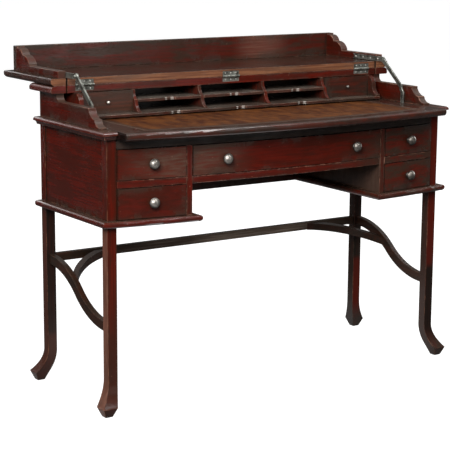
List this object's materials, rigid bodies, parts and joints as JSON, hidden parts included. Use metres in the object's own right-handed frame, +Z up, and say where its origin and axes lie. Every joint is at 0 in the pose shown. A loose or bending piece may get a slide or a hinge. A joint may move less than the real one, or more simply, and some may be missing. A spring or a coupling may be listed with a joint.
{
  "type": "writing desk",
  "caption": "Writing desk on tall hoofed legs: bowed drawers around a kneehole, a leather writing slide, a nest of pigeonholes, and a fold-over lid linked to the slide by iron arms.",
  "frame": {"origin": "on the floor, under the middle of the open desk's bounding box", "axes": "+X to the right of a person who faces the front, +Y from the front to the back, +Z up"},
  "size_m": [1.174, 0.6698, 0.938],
  "materials": {
    "mahogany": "aged polish, red brown",
    "dark_mahogany": "aged polish, near black",
    "drawer_lining": "bare secondary wood",
    "leather": "mottled brown, tooled border",
    "iron": "pitted grey wrought iron",
    "pewter": "aged grey metal",
    "bright_metal": "polished pale metal"
  },
  "bodies": {
    "carcass": {"back_panel": "drawer_lining", "cheek_left": "mahogany", "cheek_right": "mahogany", "corner_braces": "dark_mahogany", "drawer_runners": "drawer_lining", "frieze_rail": "mahogany", "front_rails": "mahogany", "hinge_pins": "iron", "kneehole_panels": "mahogany", "leg_back_left": "dark_mahogany", "leg_back_right": "dark_mahogany", "leg_front_left": "dark_mahogany", "leg_front_right": "dark_mahogany", "nest_back": "mahogany", "nest_base": "mahogany", "nest_shelves": "mahogany", "nest_uprights": "mahogany", "pedestal_bottoms": "mahogany", "rear_stretcher": "dark_mahogany", "side_panels": "mahogany", "side_stretcher_left": "dark_mahogany", "side_stretcher_right": "dark_mahogany", "slide_bearers": "drawer_lining", "top_board": "mahogany", "top_hinge_leaves": "iron", "top_hinge_nails": "iron", "top_rail_left": "mahogany", "top_rail_right": "mahogany"},
    "lid": {"lid_leaf": "mahogany", "gallery_board": "mahogany", "lid_wing_left": "mahogany", "lid_wing_right": "mahogany", "lid_hinge_leaves": "iron", "lid_hinge_nails": "iron", "lid_straps": "iron", "strap_nails": "iron", "link_pins": "iron"},
    "slide": {"writing_slide": "mahogany", "leather_inset": "leather"},
    "arm_left": {"link_arm_left": "iron"},
    "arm_right": {"link_arm_right": "iron"},
    "centre_drawer": {"centre_drawer_front": "mahogany", "centre_drawer_box": "drawer_lining", "centre_drawer_knobs": "pewter"},
    "upper_drawer_left": {"upper_drawer_front_left": "mahogany", "upper_drawer_box_left": "drawer_lining", "upper_drawer_knob_left": "pewter"},
    "lower_drawer_left": {"lower_drawer_front_left": "mahogany", "lower_drawer_box_left": "drawer_lining", "lower_drawer_knob_left": "pewter"},
    "nest_drawer_left": {"nest_drawer_left": "mahogany", "nest_drawer_knob_left": "bright_metal"},
    "upper_drawer_right": {"upper_drawer_front_right": "mahogany", "upper_drawer_box_right": "drawer_lining", "upper_drawer_knob_right": "pewter"},
    "lower_drawer_right": {"lower_drawer_front_right": "mahogany", "lower_drawer_box_right": "drawer_lining", "lower_drawer_knob_right": "pewter"},
    "nest_drawer_right": {"nest_drawer_right": "mahogany", "nest_drawer_knob_right": "bright_metal"}
  },
  "joints": [
    {"name": "lid_fold", "type": "hinge", "parent": "carcass", "child": "lid", "pos_m": [0, 0.03892, 0.848], "axis": [1, 0, 0], "range_deg": [0, 180]},
    {"name": "slide_run", "type": "slide", "parent": "carcass", "child": "slide", "axis": [0, 1, 0], "range_m": [0, 0.04175]},
    {"name": "arm_swing_left", "type": "hinge", "parent": "lid", "child": "arm_left", "pos_m": [-0.5235, -0.00508, 0.877], "axis": [1, 0, 0], "range_deg": [-207.37, 0]},
    {"name": "arm_swing_right", "type": "hinge", "parent": "lid", "child": "arm_right", "pos_m": [0.5235, -0.00508, 0.877], "axis": [1, 0, 0], "range_deg": [-207.37, 0]},
    {"name": "centre_drawer_pull", "type": "slide", "parent": "carcass", "child": "centre_drawer", "axis": [0, -1, 0], "range_m": [0, 0.24]},
    {"name": "upper_drawer_left_pull", "type": "slide", "parent": "carcass", "child": "upper_drawer_left", "axis": [0, -1, 0], "range_m": [0, 0.24]},
    {"name": "lower_drawer_left_pull", "type": "slide", "parent": "carcass", "child": "lower_drawer_left", "axis": [0, -1, 0], "range_m": [0, 0.24]},
    {"name": "nest_drawer_left_pull", "type": "slide", "parent": "carcass", "child": "nest_drawer_left", "axis": [0, -1, 0], "range_m": [0, 0.08]},
    {"name": "upper_drawer_right_pull", "type": "slide", "parent": "carcass", "child": "upper_drawer_right", "axis": [0, -1, 0], "range_m": [0, 0.24]},
    {"name": "lower_drawer_right_pull", "type": "slide", "parent": "carcass", "child": "lower_drawer_right", "axis": [0, -1, 0], "range_m": [0, 0.24]},
    {"name": "nest_drawer_right_pull", "type": "slide", "parent": "carcass", "child": "nest_drawer_right", "axis": [0, -1, 0], "range_m": [0, 0.08]}
  ],
  "couplings": [
    {"joint": "slide_run", "follows": "lid_fold", "m_per_rad": 0.013288},
    {"joint": "arm_swing_left", "follows": "lid_fold", "ratio": -1.152},
    {"joint": "arm_swing_right", "follows": "lid_fold", "ratio": -1.152}
  ]
}
